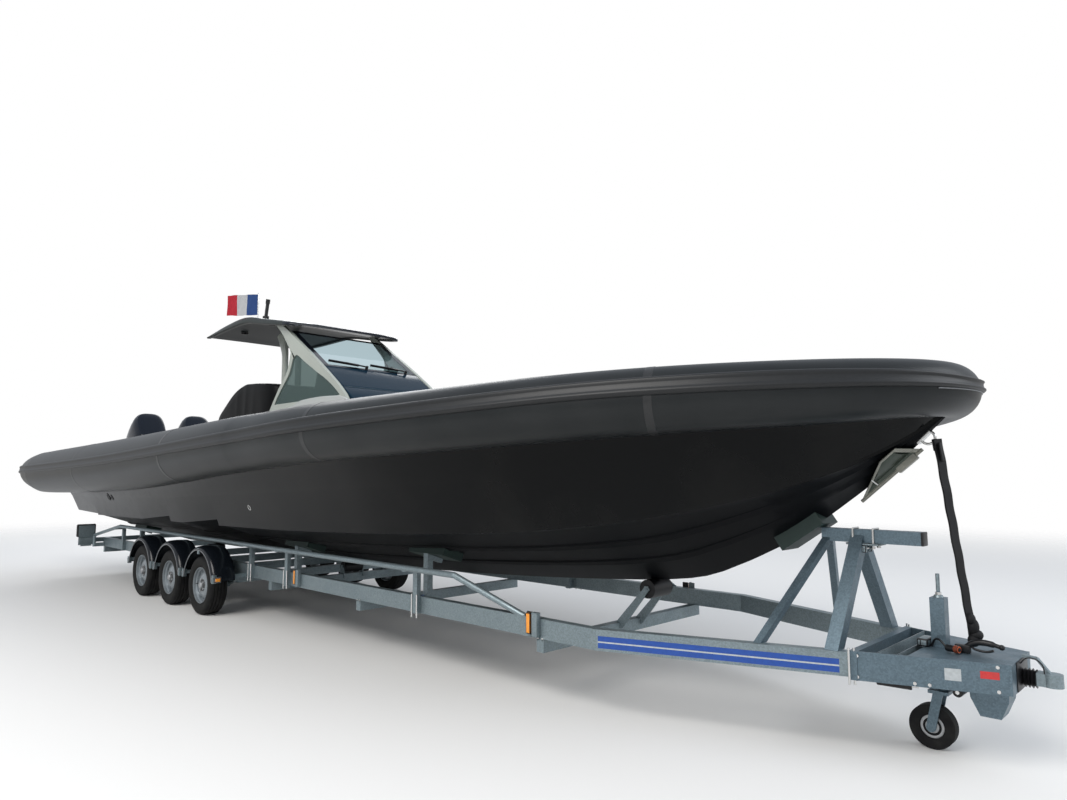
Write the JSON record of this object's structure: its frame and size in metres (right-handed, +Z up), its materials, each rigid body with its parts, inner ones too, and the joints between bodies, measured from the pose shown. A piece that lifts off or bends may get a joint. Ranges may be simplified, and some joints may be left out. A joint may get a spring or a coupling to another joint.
{
  "type": "rigid inflatable boat on a three-axle road trailer",
  "caption": "Long rigid inflatable boat with console, windscreen and hardtop, tilted outboards, on its galvanised multi-axle trailer with jockey wheel.",
  "frame": {"origin": "on the ground under the middle of the overall box, wheels standing at z = 0", "axes": "+X forward to the bow and the tow coupling, +Y to port, +Z up"},
  "size_m": [12.7009, 3.6208, 3.4853],
  "materials": {
    "hull_gelcoat": "gloss",
    "white_gelcoat": "gloss",
    "navy_gelcoat": "gloss",
    "collar_fabric": "satin",
    "strake_rubber": "matte",
    "tinted_glass": "gloss",
    "silver_paint": "satin",
    "cover_fabric": "matte",
    "cushion_vinyl": "satin",
    "black_plastic": "matte",
    "stainless": "polished",
    "flag_cloth": "matte",
    "engine_paint": "gloss",
    "galvanised_steel": "satin",
    "guard_plastic": "satin",
    "tyre_rubber": "matte",
    "lamp_plastic": "gloss",
    "strap_webbing": "matte"
  },
  "bodies": {
    "wheel_starboard_1": {"tyre_starboard_1": "tyre_rubber", "rim_starboard_1": "silver_paint"},
    "wheel_starboard_2": {"tyre_starboard_2": "tyre_rubber", "rim_starboard_2": "silver_paint"},
    "wheel_starboard_3": {"tyre_starboard_3": "tyre_rubber", "rim_starboard_3": "silver_paint"},
    "swivel_starboard": {"outboard_swivel_starboard": "engine_paint"},
    "outboard_starboard": {"outboard_leg_starboard": "engine_paint", "outboard_cowl_starboard": "engine_paint"},
    "propeller_starboard": {"outboard_propeller_starboard": "stainless"},
    "wheel_port_1": {"tyre_port_1": "tyre_rubber", "rim_port_1": "silver_paint"},
    "wheel_port_2": {"tyre_port_2": "tyre_rubber", "rim_port_2": "silver_paint"},
    "wheel_port_3": {"tyre_port_3": "tyre_rubber", "rim_port_3": "silver_paint"},
    "swivel_port": {"outboard_swivel_port": "engine_paint"},
    "outboard_port": {"outboard_leg_port": "engine_paint", "outboard_cowl_port": "engine_paint"},
    "propeller_port": {"outboard_propeller_port": "stainless"},
    "helm": {"helm_wheel": "black_plastic"},
    "mast": {"light_mast": "black_plastic"},
    "jockey_leg": {"jockey_tube": "galvanised_steel"},
    "jockey_caster": {"jockey_fork": "galvanised_steel"},
    "jockey_roller": {"jockey_wheel": "tyre_rubber"},
    "root": {"anchor": "stainless", "axles": "galvanised_steel", "bow_lounge": "white_gelcoat", "bow_stand": "galvanised_steel", "bow_strap": "strap_webbing", "collar_bow": "collar_fabric", "collar_sides": "collar_fabric", "console": "white_gelcoat", "coupling_bellows": "strake_rubber", "coupling_head": "galvanised_steel", "cross_members": "galvanised_steel", "deck_fittings": "stainless", "drawbar": "galvanised_steel", "flag": "flag_cloth", "flag_pole": "stainless", "frame_rails": "galvanised_steel", "guide_rails": "galvanised_steel", "handbrake_lever": "black_plastic", "hardtop": "navy_gelcoat", "hull": "hull_gelcoat", "jockey_casing": "galvanised_steel", "keel_rollers": "strake_rubber", "lamps": "lamp_plastic", "light_bar": "galvanised_steel", "light_mast_foot": "black_plastic", "mudguards": "guard_plastic", "outboard_brackets": "engine_paint", "roof_frames": "silver_paint", "rub_strake": "strake_rubber", "seat_cover": "cover_fabric", "sunpad": "cushion_vinyl", "support_pads": "strake_rubber", "windows": "tinted_glass", "windscreen_fairing": "navy_gelcoat", "wipers": "black_plastic"}
  },
  "joints": [
    {"name": "wheel_starboard_1_spin", "type": "hinge", "parent": "root", "child": "wheel_starboard_1", "pos_m": [-0.65, -1.11, 0.289], "axis": [0, 1, 0], "continuous": true},
    {"name": "wheel_starboard_2_spin", "type": "hinge", "parent": "root", "child": "wheel_starboard_2", "pos_m": [-1.495, -1.11, 0.289], "axis": [0, 1, 0], "continuous": true},
    {"name": "wheel_starboard_3_spin", "type": "hinge", "parent": "root", "child": "wheel_starboard_3", "pos_m": [-2.34, -1.11, 0.289], "axis": [0, 1, 0], "continuous": true},
    {"name": "tilt_starboard", "type": "hinge", "parent": "root", "child": "swivel_starboard", "pos_m": [-5.18, -0.345, 1.42], "axis": [0, 1, 0], "range_deg": [-55, 8]},
    {"name": "steer_starboard", "type": "hinge", "parent": "swivel_starboard", "child": "outboard_starboard", "pos_m": [-5.23449, -0.345, 1.49782], "axis": [0.8191, 0, 0.5736], "range_deg": [-30, 30]},
    {"name": "propeller_starboard_spin", "type": "hinge", "parent": "outboard_starboard", "child": "propeller_starboard", "pos_m": [-6.15626, -0.345, 1.26257], "axis": [-0.5736, 0, 0.8191], "continuous": true},
    {"name": "wheel_port_1_spin", "type": "hinge", "parent": "root", "child": "wheel_port_1", "pos_m": [-0.65, 1.11, 0.289], "axis": [0, 1, 0], "continuous": true},
    {"name": "wheel_port_2_spin", "type": "hinge", "parent": "root", "child": "wheel_port_2", "pos_m": [-1.495, 1.11, 0.289], "axis": [0, 1, 0], "continuous": true},
    {"name": "wheel_port_3_spin", "type": "hinge", "parent": "root", "child": "wheel_port_3", "pos_m": [-2.34, 1.11, 0.289], "axis": [0, 1, 0], "continuous": true},
    {"name": "tilt_port", "type": "hinge", "parent": "root", "child": "swivel_port", "pos_m": [-5.18, 0.345, 1.42], "axis": [0, 1, 0], "range_deg": [-55, 8]},
    {"name": "steer_port", "type": "hinge", "parent": "swivel_port", "child": "outboard_port", "pos_m": [-5.23449, 0.345, 1.49782], "axis": [0.8191, 0, 0.5736], "range_deg": [-30, 30]},
    {"name": "propeller_port_spin", "type": "hinge", "parent": "outboard_port", "child": "propeller_port", "pos_m": [-6.15626, 0.345, 1.26257], "axis": [-0.5736, 0, 0.8191], "continuous": true},
    {"name": "helm_turn", "type": "hinge", "parent": "root", "child": "helm", "pos_m": [0.205, -0.26, 2.175], "axis": [0.9063, 0, -0.4226], "range_deg": [-480, 480]},
    {"name": "jockey_lift", "type": "slide", "parent": "root", "child": "jockey_leg", "axis": [0, 0, 1], "range_m": [-0.2, 0.04]},
    {"name": "jockey_swivel", "type": "hinge", "parent": "jockey_leg", "child": "jockey_caster", "pos_m": [5.83, 0, 0.3], "axis": [0, 0, 1], "continuous": true},
    {"name": "jockey_spin", "type": "hinge", "parent": "jockey_caster", "child": "jockey_roller", "pos_m": [5.775, 0, 0.11], "axis": [0, 1, 0], "continuous": true},
    {"name": "mast_fold", "type": "hinge", "parent": "root", "child": "mast", "pos_m": [-0.985, -0.44, 3.19065], "axis": [0, 1, 0], "range_deg": [-12, 60]}
  ],
  "couplings": [
    {"joint": "steer_port", "follows": "steer_starboard", "ratio": 1},
    {"joint": "helm_turn", "follows": "steer_starboard", "ratio": -16}
  ]
}
